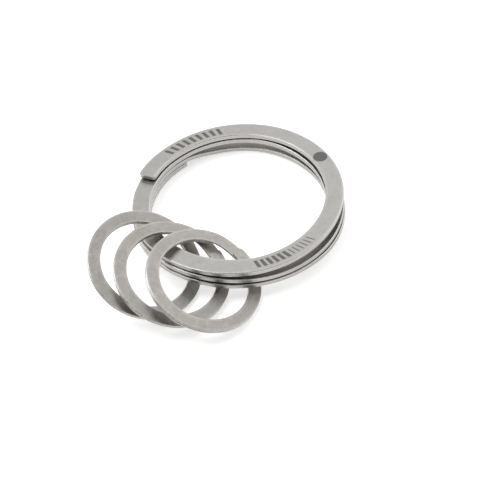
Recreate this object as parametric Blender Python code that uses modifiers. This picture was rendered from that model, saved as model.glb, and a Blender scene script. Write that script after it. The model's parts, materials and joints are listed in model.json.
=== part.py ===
"""Wave-wound split key ring with three small split rings threaded on it.

Everything is modelled in millimetres and scaled by MM. The large ring's own
frame has its origin on the ring's axis at the mean height of the top face, +Z
up out of that face. The whole object then leans on the small rings, and an
empty carries that lean, so that the model rests on z = 0.
"""

import math

import bmesh
import bpy
from mathutils import Matrix, Vector

MM = 0.001

# Large ring: a flat strip wound clockwise and downwards from its free tip.
LARGE_R_IN = 14.6
LARGE_R_OUT = 17.5
LARGE_STRIP_T = 0.78
LARGE_EDGE_R = 0.13
LARGE_CORNER_R = 0.55
TIP_AT = 155.0          # angle of the free tip, degrees from +X
TURN_END = 1113.0       # strip length in degrees of winding
LARGE_STEP = 5.0        # degrees for each segment

# The wave: height of the strip's top face at each crest and trough, against
# the winding angle from the tip.
WAVE = (
    (0, 0.30), (5, 0.27), (15, 0.14), (25, 0.04), (35, -0.02), (50, -0.04), (65, -0.05),
    (95, -0.06), (115, -0.08), (135, -0.06), (155, 0.02), (170, 0.12), (185, 0.17),
    (205, 0.18), (225, 0.14), (240, 0.16), (255, 0.30), (265, 0.39), (275, 0.46),
    (285, 0.51), (292, 0.51), (300, 0.46), (310, 0.31), (320, 0.10), (335, -0.28),
    (345, -0.50), (355, -0.67), (365, -0.80), (375, -0.90), (385, -0.97), (405, -1.02),
    (425, -1.02), (440, -1.02), (447, -1.03), (455, -1.07), (465, -1.18), (475, -1.31),
    (485, -1.41), (495, -1.54), (515, -1.90), (530, -2.16), (545, -2.28), (555, -2.20),
    (565, -2.04), (575, -1.88), (585, -1.70), (595, -1.47), (605, -1.19), (615, -0.91),
    (625, -0.68), (635, -0.51), (645, -0.39), (655, -0.38), (665, -0.54), (680, -0.92),
    (695, -1.33), (715, -1.69), (735, -1.86), (745, -1.94), (754, -2.04), (763, -2.42),
    (771, -2.74), (780, -2.90), (795, -2.98), (815, -2.96), (835, -2.97), (858, -3.00),
    (870, -3.07), (885, -3.28), (900, -3.46), (912, -3.32), (925, -3.00), (935, -2.79),
    (945, -2.61), (955, -2.42), (965, -2.23), (975, -2.04), (985, -1.82), (995, -1.60),
    (1005, -1.38), (1015, -1.31), (1025, -1.46), (1040, -1.87), (1055, -2.25),
    (1075, -2.57), (1095, -2.78), (1113, -2.91),
)

# The turns don't lie quite over one another: how far out the strip runs from
# its mean radius, against the winding angle.
SWELL = (
    (0, 0.0), (240, 0.0), (262, 0.02), (285, 0.0), (300, -0.10), (320, -0.22),
    (335, -0.30), (350, -0.28), (375, -0.16), (400, -0.11), (425, -0.10), (440, -0.14),
    (455, -0.25), (467, -0.30), (485, -0.28), (500, -0.18), (515, -0.06), (530, 0.0),
    (545, 0.04), (575, 0.10), (595, 0.15), (615, 0.20), (635, 0.27), (645, 0.29),
    (655, 0.26), (665, 0.18), (680, 0.02), (695, -0.15), (715, -0.20), (745, -0.12),
    (785, -0.06), (800, -0.10), (815, -0.22), (845, -0.22), (860, -0.08), (875, 0.05),
    (905, 0.22), (935, 0.27), (955, 0.30), (975, 0.36), (995, 0.42), (1005, 0.42),
    (1015, 0.36), (1030, 0.18), (1050, -0.10), (1065, -0.20), (1113, -0.10),
)

# The strip flexes where the tip is lifted. The stretch from the tip to
# FLEX_AT is its own solid, turning about a radial line.
FLEX_AT = 75.0          # winding angle of the bend
FLEX_GAP = 0.30         # clearance between the two solids, mm

# Small rings: two turns of a thinner flat strip with one crossover.
SMALL_R_IN = 7.2
SMALL_R_OUT = 9.26
SMALL_STRIP_T = 0.33
SMALL_TURN_GAP = 0.08
SMALL_EDGE_R = 0.09
SMALL_CORNER_R = 0.45
CROSSOVER = 30.0        # degrees of winding in which the strip changes level
SMALL_STEP = 7.5

# name: angle round the large ring, distance from its axis, height of the top
# face's centre, tilt, direction of the tilt from the radial line, tip angle
SMALL_RINGS = {
    "small_ring_left": (219.7, 19.80, -0.14, 29.5, 104.3, 175.0),
    "small_ring_middle": (232.7, 18.52, -0.70, 24.2, 94.3, 160.0),
    "small_ring_right": (248.95, 17.72, -1.01, 24.4, 88.4, 158.0),
}

# How the object lies: lean of the large ring and the lift that puts the lowest
# point on z = 0, with the box centred on the Z axis.
LEAN = (math.radians(-2.745), math.radians(-0.39), 0.0)
LIFT = (3.050, 4.165, 4.570)

STEEL = (0.43, 0.42, 0.405, 1.0)


def clear_scene():
    for obj in list(bpy.data.objects):
        bpy.data.objects.remove(obj, do_unlink=True)
    for collection in list(bpy.data.collections):
        bpy.data.collections.remove(collection)


def steel(name, roughness):
    material = bpy.data.materials.new(name)
    material.use_nodes = True
    shader = material.node_tree.nodes["Principled BSDF"]
    shader.inputs["Base Color"].default_value = STEEL
    shader.inputs["Metallic"].default_value = 1.0
    shader.inputs["Roughness"].default_value = roughness
    return material


def smooth_curve(table, winding):
    """Smooth curve through a table's crests and troughs (cubic Hermite)."""
    xs = [p[0] for p in table]
    ys = [p[1] for p in table]

    def slope(i):
        if i == 0:
            return (ys[1] - ys[0]) / (xs[1] - xs[0])
        if i == len(xs) - 1:
            return (ys[-1] - ys[-2]) / (xs[-1] - xs[-2])
        before = (ys[i] - ys[i - 1]) / (xs[i] - xs[i - 1])
        after = (ys[i + 1] - ys[i]) / (xs[i + 1] - xs[i])
        wide, near = xs[i + 1] - xs[i], xs[i] - xs[i - 1]
        return (before * wide + after * near) / (wide + near)

    i = 0
    while i < len(xs) - 2 and winding > xs[i + 1]:
        i += 1
    h = xs[i + 1] - xs[i]
    s = (winding - xs[i]) / h
    return (
        (2 * s**3 - 3 * s**2 + 1) * ys[i]
        + (s**3 - 2 * s**2 + s) * h * slope(i)
        + (3 * s**2 - 2 * s**3) * ys[i + 1]
        + (s**3 - s**2) * h * slope(i + 1)
    )


def large_swell(winding):
    return smooth_curve(SWELL, winding)


def no_swell(winding):
    return 0.0


def crossover_height(winding):
    """Top level for the first turn, bottom level for the second."""
    level = (SMALL_STRIP_T + SMALL_TURN_GAP) / 2
    start = 360.0 - CROSSOVER
    s = min(max((winding - start) / CROSSOVER, 0.0), 1.0)
    s = s * s * (3 - 2 * s)
    middle = -(SMALL_STRIP_T * 2 + SMALL_TURN_GAP) / 2
    return middle + level * (1 - 2 * s)


def stations(start, end, step, radius, corner_start, corner_end):
    """Winding angles along a strip, with the half-width lost at its corners."""
    rows = []

    def corner(at, sign, size):
        for k in range(5):
            turn = math.pi / 2 * k / 4
            along = size * (1 - math.cos(turn))
            lost = size * (1 - math.sin(turn))
            rows.append((at + sign * math.degrees(along / radius), lost))

    if corner_start:
        corner(start, 1, corner_start)
    else:
        rows.append((start, 0.0))
    first = rows[-1][0]
    last = end - math.degrees(corner_end / radius)
    count = max(1, round((last - first) / step))
    for k in range(1, count):
        rows.append((first + (last - first) * k / count, 0.0))
    if corner_end:
        corner(end, -1, corner_end)
    else:
        rows.append((end, 0.0))
    return sorted(rows)


def strip(name, rows, r_in, r_out, thickness, edge, height, swell, tip_angle,
          material):
    """A flat strip on edgeless polar stations: a grid bent round, then
    thickened and given round edges."""
    r_mid, half = (r_in + r_out) / 2, (r_out - r_in) / 2
    mesh = bpy.data.meshes.new(name)
    bm = bmesh.new()
    bmesh.ops.create_grid(
        bm, x_segments=len(rows) - 1, y_segments=1, size=1.0
    )
    last = len(rows) - 1
    for vert in bm.verts:
        k = round((vert.co.x + 1) / 2 * last)
        winding, lost = rows[k]
        radius = r_mid + math.copysign(half - lost, vert.co.y) + swell(winding)
        angle = math.radians(tip_angle - winding)
        vert.co = Vector((
            radius * math.cos(angle) * MM,
            radius * math.sin(angle) * MM,
            height(winding) * MM,
        ))
    bmesh.ops.recalc_face_normals(bm, faces=bm.faces)
    if sum(face.normal.z for face in bm.faces) < 0:
        bmesh.ops.reverse_faces(bm, faces=bm.faces)
    bm.to_mesh(mesh)
    bm.free()
    mesh.materials.append(material)
    obj = bpy.data.objects.new(name, mesh)
    thick = obj.modifiers.new("strip_thickness", "SOLIDIFY")
    thick.thickness = thickness * MM
    thick.offset = 0.0
    thick.use_even_offset = False
    rim = obj.modifiers.new("round_edges", "BEVEL")
    rim.width = edge * MM
    rim.segments = 1
    rim.limit_method = "ANGLE"
    rim.angle_limit = math.radians(50)
    mesh.shade_smooth()
    return obj


def empty(name, parent, matrix):
    obj = bpy.data.objects.new(name, None)
    obj.empty_display_size = 4 * MM
    obj.parent = parent
    obj.matrix_local = matrix
    return obj


def main():
    clear_scene()
    collection = bpy.data.collections.new("split_key_ring")
    bpy.context.scene.collection.children.link(collection)

    large_steel = steel("large_ring_steel", 0.38)
    small_steel = steel("small_ring_steel", 0.42)

    frame = bpy.data.objects.new("large_ring_frame", None)
    frame.empty_display_size = 10 * MM
    frame.location = Vector(LIFT) * MM
    frame.rotation_euler = LEAN
    collection.objects.link(frame)

    large_mid = (LARGE_R_IN + LARGE_R_OUT) / 2
    half_gap = math.degrees(FLEX_GAP / 2 / large_mid)

    def large_height(winding):
        return smooth_curve(WAVE, winding) - LARGE_STRIP_T / 2

    coil = strip(
        "large_ring_coil",
        stations(FLEX_AT + half_gap, TURN_END, LARGE_STEP, large_mid, 0.0,
                 LARGE_CORNER_R),
        LARGE_R_IN, LARGE_R_OUT, LARGE_STRIP_T, LARGE_EDGE_R, large_height,
        large_swell, TIP_AT, large_steel,
    )
    coil.parent = frame
    collection.objects.link(coil)

    # The tip's origin is on its bend line, which runs out along the radius.
    bend = Matrix.Rotation(math.radians(TIP_AT - FLEX_AT), 4, "Z")
    bend.translation = Vector((0, 0, large_height(FLEX_AT) * MM))
    tip_axis = empty("tip_bend_axis", frame, bend)
    collection.objects.link(tip_axis)
    tip = strip(
        "large_ring_tip",
        stations(0.0, FLEX_AT - half_gap, LARGE_STEP, large_mid,
                 LARGE_CORNER_R, 0.0),
        LARGE_R_IN, LARGE_R_OUT, LARGE_STRIP_T, LARGE_EDGE_R,
        lambda winding: large_height(winding) - large_height(FLEX_AT),
        no_swell, FLEX_AT, large_steel,
    )
    tip.parent = tip_axis
    collection.objects.link(tip)

    # Small rings slide round the large ring's axis.
    small_mid = (SMALL_R_IN + SMALL_R_OUT) / 2
    for name, row in SMALL_RINGS.items():
        around, distance, height, tilt, towards, tip_angle = row
        slide = empty(
            name + "_slide_axis", frame,
            Matrix.Rotation(math.radians(around), 4, "Z"),
        )
        collection.objects.link(slide)
        ring = strip(
            name,
            stations(0.0, 720.0 - CROSSOVER, SMALL_STEP, small_mid,
                     SMALL_CORNER_R, SMALL_CORNER_R),
            SMALL_R_IN, SMALL_R_OUT, SMALL_STRIP_T, SMALL_EDGE_R,
            crossover_height, no_swell, tip_angle, small_steel,
        )
        lean = (
            Matrix.Rotation(math.radians(towards), 4, "Z")
            @ Matrix.Rotation(math.radians(tilt), 4, "Y")
            @ Matrix.Rotation(math.radians(-towards), 4, "Z")
        )
        lean.translation = Vector((distance * MM, 0, height * MM))
        ring.parent = slide
        ring.matrix_local = lean
        collection.objects.link(ring)


main()
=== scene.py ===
"""Looks for the wave-wound split key ring: fine strip meshes in satin steel
that stand for the CAD solids, a pale floor, soft studio light and the camera."""

import json
import math

import bpy
import numpy as np
from mathutils import Euler, Matrix, Vector


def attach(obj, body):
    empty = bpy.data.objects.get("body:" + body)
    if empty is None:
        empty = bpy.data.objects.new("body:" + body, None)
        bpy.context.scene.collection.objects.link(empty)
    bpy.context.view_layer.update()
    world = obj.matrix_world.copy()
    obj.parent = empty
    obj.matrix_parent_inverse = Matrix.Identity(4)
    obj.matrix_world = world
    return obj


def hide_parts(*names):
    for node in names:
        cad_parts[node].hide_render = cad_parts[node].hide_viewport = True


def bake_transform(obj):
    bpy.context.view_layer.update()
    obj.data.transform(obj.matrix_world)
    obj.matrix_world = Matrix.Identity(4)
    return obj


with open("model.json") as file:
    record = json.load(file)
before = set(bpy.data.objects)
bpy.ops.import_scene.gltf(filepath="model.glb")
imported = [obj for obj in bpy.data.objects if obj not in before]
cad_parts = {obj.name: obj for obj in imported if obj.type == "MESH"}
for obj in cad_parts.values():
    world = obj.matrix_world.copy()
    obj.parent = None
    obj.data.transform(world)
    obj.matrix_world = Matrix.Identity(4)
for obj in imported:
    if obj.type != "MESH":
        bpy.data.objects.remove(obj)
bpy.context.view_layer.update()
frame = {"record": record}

MM = 0.001
SKY, KEY, TABLE = 1.25, 2.0, 0.50  # brightness of the tent, the key light and the lit table

# ---------------------------------------------------------------- the design
LARGE_R_IN, LARGE_R_OUT, LARGE_T = 14.6, 17.5, 0.78
TIP_AT, TURN_END, FLEX_AT = 155.0, 1113.0, 75.0
LARGE_CORNER_R = 0.55
WAVE = (
    (0, 0.30), (5, 0.27), (15, 0.14), (25, 0.04), (35, -0.02), (50, -0.04), (65, -0.05),
    (95, -0.06), (115, -0.08), (135, -0.06), (155, 0.02), (170, 0.12), (185, 0.17),
    (205, 0.18), (225, 0.14), (240, 0.16), (255, 0.30), (265, 0.39), (275, 0.46),
    (285, 0.51), (292, 0.51), (300, 0.46), (310, 0.31), (320, 0.10), (335, -0.28),
    (345, -0.50), (355, -0.67), (365, -0.80), (375, -0.90), (385, -0.97), (405, -1.02),
    (425, -1.02), (440, -1.02), (447, -1.03), (455, -1.07), (465, -1.18), (475, -1.31),
    (485, -1.41), (495, -1.54), (515, -1.90), (530, -2.16), (545, -2.28), (555, -2.20),
    (565, -2.04), (575, -1.88), (585, -1.70), (595, -1.47), (605, -1.19), (615, -0.91),
    (625, -0.68), (635, -0.51), (645, -0.39), (655, -0.38), (665, -0.54), (680, -0.92),
    (695, -1.33), (715, -1.69), (735, -1.86), (745, -1.94), (754, -2.04), (763, -2.42),
    (771, -2.74), (780, -2.90), (795, -2.98), (815, -2.96), (835, -2.97), (858, -3.00),
    (870, -3.07), (885, -3.28), (900, -3.46), (912, -3.32), (925, -3.00), (935, -2.79),
    (945, -2.61), (955, -2.42), (965, -2.23), (975, -2.04), (985, -1.82), (995, -1.60),
    (1005, -1.38), (1015, -1.31), (1025, -1.46), (1040, -1.87), (1055, -2.25),
    (1075, -2.57), (1095, -2.78), (1113, -2.91),
)
SWELL = (
    (0, 0.0), (240, 0.0), (262, 0.02), (285, 0.0), (300, -0.10), (320, -0.22),
    (335, -0.30), (350, -0.28), (375, -0.16), (400, -0.11), (425, -0.10), (440, -0.14),
    (455, -0.25), (467, -0.30), (485, -0.28), (500, -0.18), (515, -0.06), (530, 0.0),
    (545, 0.04), (575, 0.10), (595, 0.15), (615, 0.20), (635, 0.27), (645, 0.29),
    (655, 0.26), (665, 0.18), (680, 0.02), (695, -0.15), (715, -0.20), (745, -0.12),
    (785, -0.06), (800, -0.10), (815, -0.22), (845, -0.22), (860, -0.08), (875, 0.05),
    (905, 0.22), (935, 0.27), (955, 0.30), (975, 0.36), (995, 0.42), (1005, 0.42),
    (1015, 0.36), (1030, 0.18), (1050, -0.10), (1065, -0.20), (1113, -0.10),
)
SMALL_R_IN, SMALL_R_OUT, SMALL_T, SMALL_GAP = 7.2, 9.26, 0.33, 0.08
SMALL_CORNER_R, CROSSOVER = 0.45, 30.0
SMALL_RINGS = {
    "left": (219.7, 19.80, -0.14, 29.5, 104.3, 175.0),
    "middle": (232.7, 18.52, -0.70, 24.2, 94.3, 160.0),
    "right": (248.95, 17.72, -1.01, 24.4, 88.4, 158.0),
}

# The large ring's own frame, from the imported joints: its origin and its axis.
JOINTS = {j["name"]: j for j in frame["record"]["behaviour"]["joints"]}
AXIS = JOINTS["ring_right_slide"]
ORIGIN = Vector(AXIS["pos_m"])
UP = Vector(AXIS["axis"]).normalized()
LEAN = Euler((math.radians(-2.745), math.radians(-0.39), 0.0)).to_matrix().to_4x4()
assert (LEAN.to_3x3() @ Vector((0, 0, 1)) - UP).length < 1e-4
RING_TO_WORLD = Matrix.Translation(ORIGIN) @ LEAN


def smooth_curve(table, winding):
    xs = np.array([p[0] for p in table], float)
    ys = np.array([p[1] for p in table], float)
    d = np.diff(ys) / np.diff(xs)
    h = np.diff(xs)
    m = np.empty(len(xs))
    m[0], m[-1] = d[0], d[-1]
    m[1:-1] = (d[:-1] * h[1:] + d[1:] * h[:-1]) / (h[1:] + h[:-1])
    i = np.clip(np.searchsorted(xs, winding) - 1, 0, len(xs) - 2)
    s = (winding - xs[i]) / h[i]
    return ((2 * s**3 - 3 * s**2 + 1) * ys[i] + (s**3 - 2 * s**2 + s) * h[i] * m[i]
            + (3 * s**2 - 2 * s**3) * ys[i + 1] + (s**3 - s**2) * h[i] * m[i + 1])


def smooth(s):
    s = np.clip(s, 0.0, 1.0)
    return s * s * (3 - 2 * s)


def large_middle(winding):
    return smooth_curve(WAVE, winding) - LARGE_T / 2


def large_swell(winding):
    return smooth_curve(SWELL, winding)


def small_middle(winding):
    level = (SMALL_T + SMALL_GAP) / 2
    return -(2 * SMALL_T + SMALL_GAP) / 2 + level * (
        1 - 2 * smooth((winding - (360 - CROSSOVER)) / CROSSOVER))


def no_swell(winding):
    return winding * 0.0


# ------------------------------------------------------------ the strip sweep
def section(half_w, half_t, radius, steps, flat):
    """Rounded rectangle, counter-clockwise from the middle of the top face:
    points (across, up), outward normals, and how much each is on a rim."""
    radius = max(min(radius, half_w, half_t), 1e-5)
    pts, nrm, rim = [], [], []

    def line(a, b, n, count):
        for k in range(1, count):
            t = k / count
            pts.append((a[0] + (b[0] - a[0]) * t, a[1] + (b[1] - a[1]) * t))
            nrm.append(n)
            rim.append(0.0)

    def arc(cx, cy, a0):
        for k in range(steps + 1):
            a = math.radians(a0 + 90.0 * k / steps)
            pts.append((cx + radius * math.cos(a), cy + radius * math.sin(a)))
            nrm.append((math.cos(a), math.sin(a)))
            rim.append(1.0 if 0 < k < steps else 0.4)

    w, t = half_w - radius, half_t - radius
    arc(w, t, 0)
    line((w, half_t), (-w, half_t), (0, 1), flat)
    arc(-w, t, 90)
    line((-half_w, t), (-half_w, -t), (-1, 0), 3)
    arc(-w, -t, 180)
    line((-w, -half_t), (w, -half_t), (0, -1), flat)
    arc(w, -t, 270)
    line((half_w, -t), (half_w, t), (1, 0), 3)
    return np.array(pts), np.array(nrm), np.array(rim)


def strip(name, start, end, step, r_in, r_out, thick, edge, corner, middle,
          swell, tip_angle, corner_start=True, corner_end=True, steps=5, flat=8):
    """A flat strip swept round its winding, as one closed mesh with rounded
    long edges, rounded corners and rounded ends where it has them."""
    r_mid, half_w, half_t = (r_in + r_out) / 2, (r_out - r_in) / 2, thick / 2
    rows = []  # winding, half width, half thickness, edge radius

    def end_rows(at, sign):
        along = sorted(
            {round(edge * (1 - math.cos(math.pi / 2 * k / 6)), 5) for k in range(7)}
            | {round(corner * (1 - math.cos(math.pi / 2 * k / 9)), 5) for k in range(10)}
        )
        for s in along:
            w = half_w
            if s < corner:
                w -= corner - math.sqrt(max(corner**2 - (corner - s)**2, 0))
            t, r = half_t, edge
            if s < edge:
                lost = edge - math.sqrt(max(edge**2 - (edge - s)**2, 0))
                t -= lost
                w -= lost * 0.35
                r = max(edge - lost, 0.02)
            rows.append((at + sign * math.degrees(s / r_mid), w, t, r))

    if corner_start:
        end_rows(start, 1)
    else:
        rows.append((start, half_w, half_t, edge))
    a = rows[-1][0]
    b = end - (math.degrees(corner / r_mid) if corner_end else 0.0)
    count = max(1, round((b - a) / step))
    for k in range(1, count):
        rows.append((a + (b - a) * k / count, half_w, half_t, edge))
    if corner_end:
        end_rows(end, -1)
    else:
        rows.append((end, half_w, half_t, edge))
    rows.sort()

    wind = np.array([r[0] for r in rows])
    ang = np.radians(tip_angle - wind)
    mid, out = middle(wind), swell(wind)
    eps = 0.25
    slope = (middle(wind + eps) - middle(wind - eps)) / (
        2 * math.radians(eps) * r_mid)
    verts, norms, rims, uvs = [], [], [], []
    for k, (w_, hw, ht, er) in enumerate(rows):
        pts, nrm, rim = section(hw, ht, er, steps, flat)
        radial = np.array([math.cos(ang[k]), math.sin(ang[k]), 0.0])
        along = np.array([math.sin(ang[k]), -math.cos(ang[k]), slope[k]])
        along /= np.linalg.norm(along)
        up = np.cross(radial, along)
        up = up if up[2] > 0 else -up
        centre = radial * (r_mid + out[k]) + np.array([0.0, 0.0, mid[k]])
        verts.append(centre + pts[:, :1] * radial + pts[:, 1:] * up)
        norms.append(nrm[:, :1] * radial + nrm[:, 1:] * up)
        rims.append(rim)
        # across the strip: 0 in the middle of the top face, and on past each
        # rim, down the wall and under the strip
        per = np.linalg.norm(np.roll(pts, -1, 0) - pts, axis=1)
        run = np.concatenate([[0], np.cumsum(per)[:-1]])
        mid_top = steps + (flat - 1) / 2 + 0.5
        i = int(mid_top)
        zero = run[i] + (mid_top - i) * per[i]
        across = zero - run
        total = per.sum()
        across = np.where(across < -total / 2, across + total, across)
        uvs.append(np.stack([np.full(len(pts), math.radians(w_) * r_mid), across], 1))
    n, m = len(rows), len(verts[0])
    verts, norms = np.concatenate(verts), np.concatenate(norms)
    rims, uvs = np.concatenate(rims), np.concatenate(uvs)
    faces = []
    for k in range(n - 1):
        for j in range(m):
            j2 = (j + 1) % m
            faces.append((k * m + j, k * m + j2, (k + 1) * m + j2, (k + 1) * m + j))
    faces.append(tuple(range(m - 1, -1, -1)))
    faces.append(tuple((n - 1) * m + j for j in range(m)))
    mesh = bpy.data.meshes.new(name)
    mesh.from_pydata((verts * MM).tolist(), [], faces)
    # outward faces: the winding runs clockwise, so check one wall face
    mesh.update()
    poly = mesh.polygons[(n // 2) * m]
    if Vector(poly.normal).dot(Vector(norms[poly.vertices[0]])) < 0:
        mesh.flip_normals()
        mesh.update()
    uv = mesh.uv_layers.new(name="strip")
    loops = np.empty(len(mesh.loops), np.int32)
    mesh.loops.foreach_get("vertex_index", loops)
    flat_uv = uvs[loops].copy()
    # the perimeter closes under the strip: keep each face's coordinates together
    for p in mesh.polygons[: (n - 1) * m]:
        ids = list(p.loop_indices)
        v = flat_uv[ids, 1]
        if v.max() - v.min() > half_w:
            flat_uv[ids, 1] = np.where(v < 0, v + total, v)
    uv.data.foreach_set("uv", flat_uv.astype(np.float32).ravel())
    attr = mesh.attributes.new("rim", "FLOAT", "POINT")
    attr.data.foreach_set("value", rims.astype(np.float32))
    mesh.shade_smooth()
    # analytic normals keep the faces flat up to their round edges
    split = norms[loops].copy()
    for p in (mesh.polygons[(n - 1) * m], mesh.polygons[(n - 1) * m + 1]):
        for li in p.loop_indices:
            split[li] = p.normal
    mesh.normals_split_custom_set([tuple(v) for v in split])
    obj = bpy.data.objects.new(name, mesh)
    bpy.context.scene.collection.objects.link(obj)
    return obj


# ------------------------------------------------------------------ materials
def node(tree, kind, at, **settings):
    made = tree.nodes.new(kind)
    made.location = at
    for key, value in settings.items():
        setattr(made, key, value)
    return made


def steel(name, tone, dark, rough, mottle, blotchy, grainy, marks=False):
    mat = bpy.data.materials.new(name)
    mat.use_nodes = True
    t = mat.node_tree
    link = t.links.new
    shader = t.nodes["Principled BSDF"]
    shader.inputs["Metallic"].default_value = 1.0
    uv = node(t, "ShaderNodeUVMap", (-1500, 100), uv_map="strip")
    pos = node(t, "ShaderNodeTexCoord", (-1500, -200))

    def noise(source, scale, stretch, detail, roughness):
        m = node(t, "ShaderNodeMapping", (-1300, 0))
        m.inputs["Scale"].default_value = stretch
        link(source, m.inputs["Vector"])
        n_ = node(t, "ShaderNodeTexNoise", (-1100, 0))
        n_.inputs["Scale"].default_value = scale
        n_.inputs["Detail"].default_value = detail
        n_.inputs["Roughness"].default_value = roughness
        link(m.outputs["Vector"], n_.inputs["Vector"])
        return n_.outputs["Fac"]

    def ramp(source, a, b, ca, cb):
        r = node(t, "ShaderNodeMapRange", (-800, 0))
        for key, value in (("From Min", a), ("From Max", b), ("To Min", ca), ("To Max", cb)):
            r.inputs[key].default_value = value
        link(source, r.inputs["Value"])
        return r.outputs["Result"]

    def maths(kind, a, b):
        n_ = node(t, "ShaderNodeMath", (-600, 0), operation=kind)
        for k, v in enumerate((a, b)):
            if isinstance(v, (int, float)):
                n_.inputs[k].default_value = v
            else:
                link(v, n_.inputs[k])
        return n_.outputs[0]

    def mix(fac, a, b):
        n_ = node(t, "ShaderNodeMix", (-400, 0), data_type="RGBA")
        link(fac, n_.inputs["Factor"])
        for k, v in (("A", a), ("B", b)):
            socket = [s for s in n_.inputs if s.name == k and s.type == "RGBA"][0]
            if isinstance(v, tuple):
                socket.default_value = v
            else:
                link(v, socket)
        return [s for s in n_.outputs if s.type == "RGBA"][0]

    obj_mm = pos.outputs["Object"]
    cloud = noise(obj_mm, 240.0, (1, 1, 1), 3.0, 0.55)        # tone drift, 4 mm
    blotch = noise(obj_mm, 1150.0, (1, 1, 1), 3.0, 0.62)      # tumbling blotches, 1 mm
    grain = noise(obj_mm, 4300.0, (1, 1, 1), 2.0, 0.65)       # tumbled grain, 0.2 mm
    brush = noise(uv.outputs["UV"], 1.0, (0.35, 16.0, 1.0), 4.0, 0.6)  # rolling lines

    colour = mix(ramp(cloud, 0.33, 0.68, 0.0, 1.0), dark, tone)
    spots = mix(ramp(blotch, 0.36, 0.60, blotchy, 0.0), colour,
                tuple(c * 0.55 for c in dark[:3]) + (1.0,))
    spots = mix(ramp(blotch, 0.52, 0.70, 0.0, blotchy), spots,
                tuple(min(1.0, c * 1.45) for c in tone[:3]) + (1.0,))
    fine = mix(ramp(grain, 0.34, 0.66, grainy, 0.0), spots,
               tuple(c * 0.50 for c in dark[:3]) + (1.0,))
    lines = mix(ramp(brush, 0.50, 0.75, 0.0, 0.16), fine,
                tuple(min(1.0, c * 1.18) for c in tone[:3]) + (1.0,))

    rim = node(t, "ShaderNodeAttribute", (-1500, -500), attribute_name="rim")
    # painted highlight: the rounded rims get a lighter colour that stands for the light they catch
    painted_rim_highlight = mix(maths("MULTIPLY", rim.outputs["Fac"], 0.75), lines, (0.64, 0.625, 0.61, 1.0))
    base = painted_rim_highlight

    rough_value = maths("ADD", ramp(cloud, 0.3, 0.7, rough - mottle, rough + mottle),
                        ramp(blotch, 0.3, 0.7, -0.05, 0.05))
    rough_value = maths("ADD", rough_value, ramp(grain, 0.3, 0.7, -0.03, 0.03))
    rough_value = maths("SUBTRACT", rough_value, maths("MULTIPLY", rim.outputs["Fac"], 0.08))

    height = maths("ADD", maths("MULTIPLY", grain, 0.5), maths("MULTIPLY", brush, 0.4))
    height = maths("ADD", height, maths("MULTIPLY", blotch, 0.5))
    bump = node(t, "ShaderNodeBump", (-200, -300))
    bump.inputs["Strength"].default_value = 0.16
    bump.inputs["Distance"].default_value = 0.00002
    link(height, bump.inputs["Height"])
    link(bump.outputs["Normal"], shader.inputs["Normal"])

    if marks:
        mask = mark_mask(t, link, uv.outputs["UV"], maths)
        base = mix(mask, base, (0.085, 0.083, 0.08, 1.0))
        rough_value = maths("ADD", rough_value, maths("MULTIPLY", mask, 0.22))

    link(base, shader.inputs["Base Color"])
    link(rough_value, shader.inputs["Roughness"])
    return mat


R_MID = (LARGE_R_IN + LARGE_R_OUT) / 2


def mark_mask(t, link, uv, maths):
    """Generic etched marks on the top face: rows of slanted bars and a plain
    disc, set out along and across the strip in mm."""
    split = node(t, "ShaderNodeSeparateXYZ", (-1300, 600))
    link(uv, split.inputs[0])
    u, v = split.outputs["X"], split.outputs["Y"]

    def within(value, low, high, soft):
        up = node(t, "ShaderNodeMapRange", (-900, 600))
        for key, x in (("From Min", low - soft), ("From Max", low + soft)):
            up.inputs[key].default_value = x
        link(value, up.inputs["Value"])
        down = node(t, "ShaderNodeMapRange", (-900, 700))
        for key, x in (("From Min", high - soft), ("From Max", high + soft),
                       ("To Min", 1.0), ("To Max", 0.0)):
            down.inputs[key].default_value = x
        link(value, down.inputs["Value"])
        return maths("MULTIPLY", up.outputs["Result"], down.outputs["Result"])

    def bars(start, end, pitch, width, slant, half, centre=0.0):
        """A row of slanted bars from winding start to end, in degrees."""
        a, b = (math.radians(x) * R_MID for x in (start, end))
        vc = maths("SUBTRACT", v, centre)
        sheared = maths("ADD", u, maths("MULTIPLY", vc, slant))
        b = a + (round((b - a - width) / pitch)) * pitch + width + 0.01
        phase = maths("MODULO", maths("SUBTRACT", sheared, a), pitch)
        row = within(phase, 0.02, width, 0.02)
        return maths("MULTIPLY", maths("MULTIPLY", row, within(sheared, a, b, 0.01)),
                     within(vc, -half, half, 0.03))

    def disc(at, radius, inner):
        c = math.radians(at) * R_MID
        du = maths("SUBTRACT", u, c)
        r2 = maths("SQRT", maths("ADD", maths("MULTIPLY", du, du), maths("MULTIPLY", v, v)), 0.0)
        return maths("MULTIPLY", within(r2, -1.0, radius, 0.04),
                     maths("SUBTRACT", 1.0, within(r2, -1.0, inner, 0.04)))

    mask = bars(23.0, 58.0, 1.22, 0.62, 0.30, 0.80)
    mask = maths("MAXIMUM", mask, bars(219.5, 240.0, 0.98, 0.60, 0.30, 0.76))
    mask = maths("MAXIMUM", mask, bars(203.0, 217.5, 0.78, 0.22, 0.30, 0.70))
    mask = maths("MAXIMUM", mask, disc(131.0, 1.20, 0.0))
    return maths("MULTIPLY", mask, 0.80)


LARGE_STEEL = steel("large_ring_satin_steel", (0.446, 0.434, 0.421, 1.0),
                    (0.405, 0.395, 0.383, 1.0), 0.33, 0.03, 0.09, 0.12, marks=True)
SMALL_STEEL = steel("small_ring_satin_steel", (0.478, 0.461, 0.442, 1.0),
                    (0.374, 0.360, 0.343, 1.0), 0.36, 0.05, 0.20, 0.24)

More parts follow.
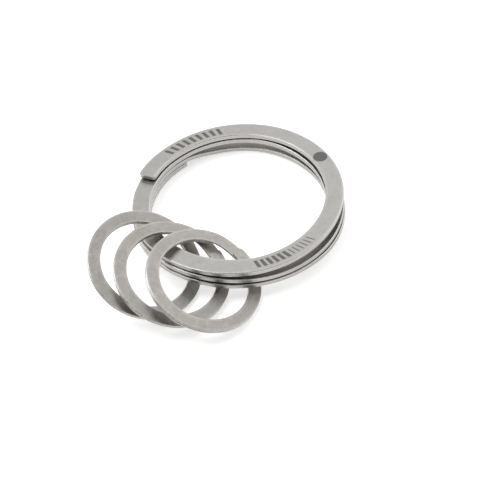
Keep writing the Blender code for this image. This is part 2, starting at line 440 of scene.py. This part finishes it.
# ------------------------------------------------------------- the large ring
LARGE = dict(step=1.25, r_in=LARGE_R_IN, r_out=LARGE_R_OUT, thick=LARGE_T + 0.04,
             edge=0.11, corner=LARGE_CORNER_R, middle=large_middle,
             swell=large_swell, tip_angle=TIP_AT)
FLEX_END = 125.0
flex = strip("large_ring_flexing_end", 0.0, FLEX_END, corner_end=False, **LARGE)
coil = strip("large_ring_turns", FLEX_END, TURN_END, corner_start=False, **LARGE)
for piece in (flex, coil):
    piece.data.materials.append(LARGE_STEEL)
    piece.matrix_world = RING_TO_WORLD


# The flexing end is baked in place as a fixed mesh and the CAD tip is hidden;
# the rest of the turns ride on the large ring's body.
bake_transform(flex)
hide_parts("large_ring_tip")
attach(coil, "large_ring")
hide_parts("large_ring_coil")

# ------------------------------------------------------------ the small rings
for side, (around, distance, height, tilt, towards, tip_angle) in SMALL_RINGS.items():
    ring = strip("small_ring_" + side + "_turns", 0.0, 720.0 - CROSSOVER, 2.5,
                 SMALL_R_IN, SMALL_R_OUT, SMALL_T, 0.11, SMALL_CORNER_R,
                 small_middle, no_swell, tip_angle, steps=4, flat=6)
    ring.data.materials.append(SMALL_STEEL)
    lean = (Matrix.Rotation(math.radians(towards), 4, "Z")
            @ Matrix.Rotation(math.radians(tilt), 4, "Y")
            @ Matrix.Rotation(math.radians(-towards), 4, "Z"))
    lean.translation = Vector((distance * MM, 0, height * MM))
    ring.matrix_world = RING_TO_WORLD @ Matrix.Rotation(math.radians(around), 4, "Z") @ lean
    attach(ring, "ring_" + side)
    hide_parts("small_ring_" + side)

# ---------------------------------------------------------- floor, light, view
floor_mesh = bpy.data.meshes.new("floor")
floor_mesh.from_pydata([(-3, -3, 0), (3, -3, 0), (3, 3, 0), (-3, 3, 0)], [], [(0, 1, 2, 3)])
floor = bpy.data.objects.new("floor", floor_mesh)
bpy.context.scene.collection.objects.link(floor)
paper = bpy.data.materials.new("white_paper")
paper.use_nodes = True
paper.node_tree.nodes["Principled BSDF"].inputs["Base Color"].default_value = (0.93, 0.93, 0.93, 1)
paper.node_tree.nodes["Principled BSDF"].inputs["Roughness"].default_value = 0.9
paper.node_tree.nodes["Principled BSDF"].inputs["Specular IOR Level"].default_value = 0.1
paper.node_tree.nodes["Principled BSDF"].inputs["Emission Color"].default_value = (1, 1, 1, 1)
paper.node_tree.nodes["Principled BSDF"].inputs["Emission Strength"].default_value = TABLE
floor_mesh.materials.append(paper)

# A light tent: bright over and behind the ring, dark on the side of the viewer.
world = bpy.data.worlds.new("studio")
bpy.context.scene.world = world
world.use_nodes = True
sky = world.node_tree
background = sky.nodes["Background"]
where = node(sky, "ShaderNodeTexCoord", (-1200, 0))


def toward(direction, low, high, a, b):
    """a where the direction's cosine is below low, b where it is above high."""
    dot = node(sky, "ShaderNodeVectorMath", (-900, 0), operation="DOT_PRODUCT")
    dot.inputs[1].default_value = Vector(direction).normalized()
    sky.links.new(where.outputs["Generated"], dot.inputs[0])
    span = node(sky, "ShaderNodeMapRange", (-700, 0), interpolation_type="SMOOTHSTEP")
    for key, x in (("From Min", low), ("From Max", high), ("To Min", a), ("To Max", b)):
        span.inputs[key].default_value = x
    sky.links.new(dot.outputs["Value"], span.inputs["Value"])
    return span.outputs["Result"]


def times(x, y):
    made = node(sky, "ShaderNodeMath", (-400, 0), operation="MULTIPLY")
    for k, v in enumerate((x, y)):
        if isinstance(v, (int, float)):
            made.inputs[k].default_value = v
        else:
            sky.links.new(v, made.inputs[k])
    return made.outputs[0]


front = toward((0.0, -0.85, 0.45), -0.05, 0.75, 1.0, 0.34)
low_front = toward((0.0, -1.0, 0.0), 0.10, 0.70, 1.0, 0.42)
background.inputs["Color"].default_value = (1.0, 1.0, 0.995, 1.0)
left = toward((1.0, 0.0, 0.0), -0.30, 0.12, 0.66, 1.0)
sky.links.new(times(times(times(front, low_front), left), SKY), background.inputs["Strength"])


def softbox(name, place, aim, size, power, colour=(1, 1, 1)):
    data = bpy.data.lights.new(name, "AREA")
    data.shape = "RECTANGLE"
    data.size, data.size_y = size
    data.energy = power
    data.color = colour
    obj = bpy.data.objects.new(name, data)
    bpy.context.scene.collection.objects.link(obj)
    obj.location = place
    obj.rotation_euler = (Vector(aim) - Vector(place)).to_track_quat("-Z", "Y").to_euler()
    return obj


softbox("key_upper_left", (-0.30, 0.12, 0.60), (0, 0, 0), (0.40, 0.40), KEY)

# The camera, in the large ring's frame: it looks down over the front rim.
ELEVATION, DISTANCE, FOCAL_PX, ROLL = 47.079, 182.265, 1116.81, -7.0677
CENTRE_PX = (236.40, 194.27)
e, roll = math.radians(ELEVATION), math.radians(ROLL)
forward = Vector((0, math.cos(e), -math.sin(e)))
right0, up0 = Vector((1, 0, 0)), Vector((0, math.sin(e), math.cos(e)))
right = right0 * math.cos(roll) + up0 * math.sin(roll)
up = up0 * math.cos(roll) - right0 * math.sin(roll)
x = (CENTRE_PX[0] - 250) / FOCAL_PX * DISTANCE
y = -(CENTRE_PX[1] - 250) / FOCAL_PX * DISTANCE
eye = -(forward * DISTANCE + right * x + up * y)
turn = Matrix((right, up, -forward)).transposed().to_4x4()
turn.translation = eye * MM
cam_data = bpy.data.cameras.new("camera")
cam_data.sensor_width = 36.0
cam_data.lens = FOCAL_PX / 500 * 36.0
cam_data.clip_start, cam_data.clip_end = 0.01, 20.0
camera = bpy.data.objects.new("camera", cam_data)
bpy.context.scene.collection.objects.link(camera)
camera.matrix_world = RING_TO_WORLD @ turn
bpy.context.scene.camera = camera

bpy.context.scene.view_settings.view_transform = "Standard"
